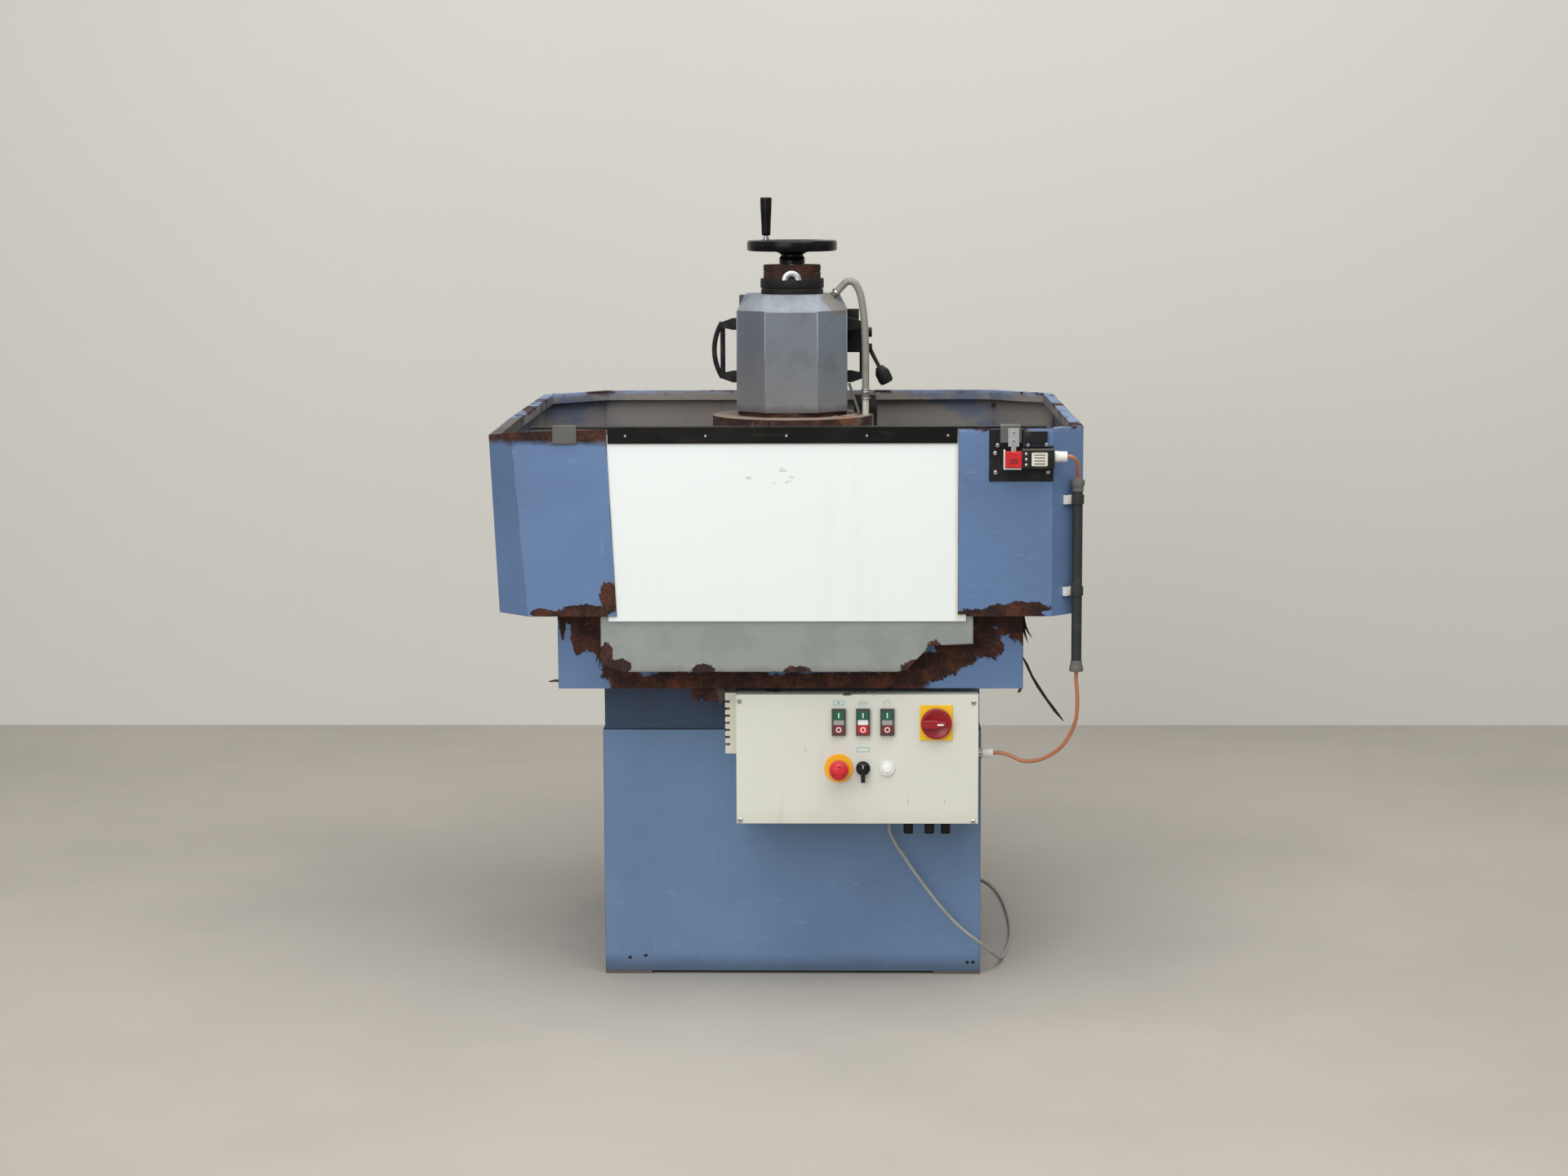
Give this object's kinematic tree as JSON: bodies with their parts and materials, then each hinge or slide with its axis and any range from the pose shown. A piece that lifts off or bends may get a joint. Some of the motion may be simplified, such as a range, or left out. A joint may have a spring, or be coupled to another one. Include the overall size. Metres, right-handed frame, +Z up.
{
  "type": "vertical wet trim grinder",
  "caption": "Floor-standing wet stone grinder: sheet-metal pedestal, drip pan, splash hood with lift-up door, rotary table, swinging octagonal spindle head with handwheel, control box.",
  "frame": {"origin": "on the floor, at the centre of the four anchor holes under the pedestal", "axes": "+X to the operator's right, +Y away from the operator, +Z up"},
  "size_m": [1.217, 1.209, 1.6441],
  "materials": {
    "bare_steel": "dull mill steel, lightly rusted",
    "blue_paint": "blue enamel, worn and rusting",
    "frame_paint": "darker grey-blue enamel",
    "galvanised": "weathered galvanised sheet",
    "black_plastic": "matt black",
    "grey_plastic": "grey moulding",
    "copper_sheath": "orange-brown cable sheath",
    "conduit_grey": "dark grey conduit",
    "cable_grey": "grey cable sheath",
    "cream_paint": "cream enamel",
    "zinc": "zinc-plated steel",
    "cream_plastic": "cream moulding",
    "yellow_plastic": "safety yellow",
    "cast_iron": "cast iron, dressed faces",
    "green_paint": "green enamel",
    "black_rubber": "belt rubber",
    "white_panel": "white sheet",
    "black_paint": "black paint over steel",
    "grey_steel": "grey paint over steel",
    "machined_steel": "turned steel",
    "head_grey": "blue-grey painted aluminium casting",
    "rusted_steel": "rusted steel under slurry dust",
    "hose_beige": "beige hose",
    "motor_winding": "varnished copper winding",
    "abrasive_bond": "diamond cup wheel on a steel body",
    "black_bakelite": "polished black phenolic",
    "red_plastic": "red moulding",
    "white_plastic": "white moulding",
    "green_plastic": "green moulding"
  },
  "bodies": {
    "root": {"foot_plates": "bare_steel", "pedestal_cabinet": "blue_paint", "pedestal_top_frame": "frame_paint", "drip_pan": "blue_paint", "hood_shell": "blue_paint", "door_guides": "frame_paint", "apron_strip": "galvanised", "interlock_plate": "black_plastic", "interlock_switch": "grey_plastic", "service_panel": "blue_paint", "switch_cable": "copper_sheath", "conduit": "conduit_grey", "box_cable": "copper_sheath", "box_body": "cream_paint", "box_lid": "cream_paint", "panel_screws": "zinc", "cable_duct": "cream_plastic", "cable_glands": "black_plastic", "button_bezels": "grey_plastic", "switch_plates": "yellow_plastic", "column": "cast_iron", "bearing_housing": "cast_iron", "table_motor": "frame_paint", "coolant_tank": "bare_steel", "coolant_pump": "green_paint", "pump_lead": "cable_grey", "drive_belt": "black_rubber"},
    "door": {"door_panel": "white_panel", "door_angle": "black_paint", "door_brackets": "grey_steel", "interlock_key": "zinc", "door_screws": "zinc"},
    "rotary_table": {"turntable": "cast_iron", "table_shaft": "machined_steel"},
    "motor_shaft": {"motor_pulley": "machined_steel"},
    "swing_head": {"head_housing": "head_grey", "head_arm": "cast_iron", "head_handles": "black_plastic", "wheel_guard": "rusted_steel", "collar_rings": "black_paint", "head_hose": "hose_beige", "hose_fittings": "black_plastic"},
    "quill_slide": {"quill": "machined_steel", "spindle_motor": "motor_winding"},
    "spindle": {"spindle_shaft": "machined_steel", "cup_wheel": "abrasive_bond"},
    "handwheel_body": {"handwheel": "black_bakelite", "feed_screw": "machined_steel"},
    "grip": {"wheel_grip": "black_bakelite"},
    "lever": {"clamp_lever": "black_plastic"},
    "main_switch": {"main_switch_knob": "red_plastic"},
    "selector": {"selector_knob": "black_plastic"},
    "estop": {"estop_mushroom": "red_plastic"},
    "white_push": {"white_button": "white_plastic"},
    "start_1": {"start_button_1": "green_plastic"},
    "stop_1": {"stop_button_1": "red_plastic"},
    "start_2": {"start_button_2": "green_plastic"},
    "stop_2": {"stop_button_2": "red_plastic"},
    "start_3": {"start_button_3": "green_plastic"},
    "stop_3": {"stop_button_3": "red_plastic"}
  },
  "joints": [
    {"name": "door_lift", "type": "slide", "parent": "root", "child": "door", "axis": [0, 0, 1], "range_m": [0, 0.3]},
    {"name": "table_spin", "type": "hinge", "parent": "root", "child": "rotary_table", "pos_m": [0, -0.15, 0.9], "axis": [0, 0, 1], "continuous": true},
    {"name": "motor_spin", "type": "hinge", "parent": "root", "child": "motor_shaft", "pos_m": [0.23, -0.15, 0.49], "axis": [0, 0, 1], "continuous": true},
    {"name": "head_swing", "type": "hinge", "parent": "root", "child": "swing_head", "pos_m": [-0.005, 0.33, 1.3], "axis": [0, 0, 1], "range_deg": [-35, 35]},
    {"name": "quill_feed", "type": "slide", "parent": "swing_head", "child": "quill_slide", "axis": [0, 0, -1], "range_m": [0, 0.042]},
    {"name": "spindle_spin", "type": "hinge", "parent": "quill_slide", "child": "spindle", "pos_m": [-0.005, 0.05, 1.25], "axis": [0, 0, 1], "continuous": true},
    {"name": "handwheel_turn", "type": "hinge", "parent": "swing_head", "child": "handwheel_body", "pos_m": [-0.005, 0.05, 1.53], "axis": [0, 0, -1], "range_deg": [0, 3025]},
    {"name": "grip_spin", "type": "hinge", "parent": "handwheel_body", "child": "grip", "pos_m": [-0.064, 0.106, 1.6], "axis": [0, 0, 1], "continuous": true},
    {"name": "lever_turn", "type": "hinge", "parent": "swing_head", "child": "lever", "pos_m": [0.166, 0.091, 1.31], "axis": [0, -1, 0], "range_deg": [-20, 40]},
    {"name": "main_switch_turn", "type": "hinge", "parent": "root", "child": "main_switch", "pos_m": [0.301, -0.56, 0.571], "axis": [0, 1, 0], "range_deg": [0, 90]},
    {"name": "selector_turn", "type": "hinge", "parent": "root", "child": "selector", "pos_m": [0.15, -0.56, 0.476], "axis": [0, 1, 0], "range_deg": [-45, 45]},
    {"name": "estop_push", "type": "slide", "parent": "root", "child": "estop", "axis": [0, 1, 0], "range_m": [0, 0.005]},
    {"name": "white_push_in", "type": "slide", "parent": "root", "child": "white_push", "axis": [0, 1, 0], "range_m": [0, 0.003], "stiffness_N_per_m": 600, "springref_m": -0.002},
    {"name": "start_1_push", "type": "slide", "parent": "root", "child": "start_1", "axis": [0, 1, 0], "range_m": [0, 0.003], "stiffness_N_per_m": 600, "springref_m": -0.002},
    {"name": "stop_1_push", "type": "slide", "parent": "root", "child": "stop_1", "axis": [0, 1, 0], "range_m": [0, 0.003], "stiffness_N_per_m": 600, "springref_m": -0.002},
    {"name": "start_2_push", "type": "slide", "parent": "root", "child": "start_2", "axis": [0, 1, 0], "range_m": [0, 0.003], "stiffness_N_per_m": 600, "springref_m": -0.002},
    {"name": "stop_2_push", "type": "slide", "parent": "root", "child": "stop_2", "axis": [0, 1, 0], "range_m": [0, 0.003], "stiffness_N_per_m": 600, "springref_m": -0.002},
    {"name": "start_3_push", "type": "slide", "parent": "root", "child": "start_3", "axis": [0, 1, 0], "range_m": [0, 0.003], "stiffness_N_per_m": 600, "springref_m": -0.002},
    {"name": "stop_3_push", "type": "slide", "parent": "root", "child": "stop_3", "axis": [0, 1, 0], "range_m": [0, 0.003], "stiffness_N_per_m": 600, "springref_m": -0.002}
  ],
  "couplings": [
    {"joint": "handwheel_turn", "follows": "quill_feed", "rad_per_m": 1256.6},
    {"joint": "motor_spin", "follows": "table_spin", "ratio": 2}
  ]
}
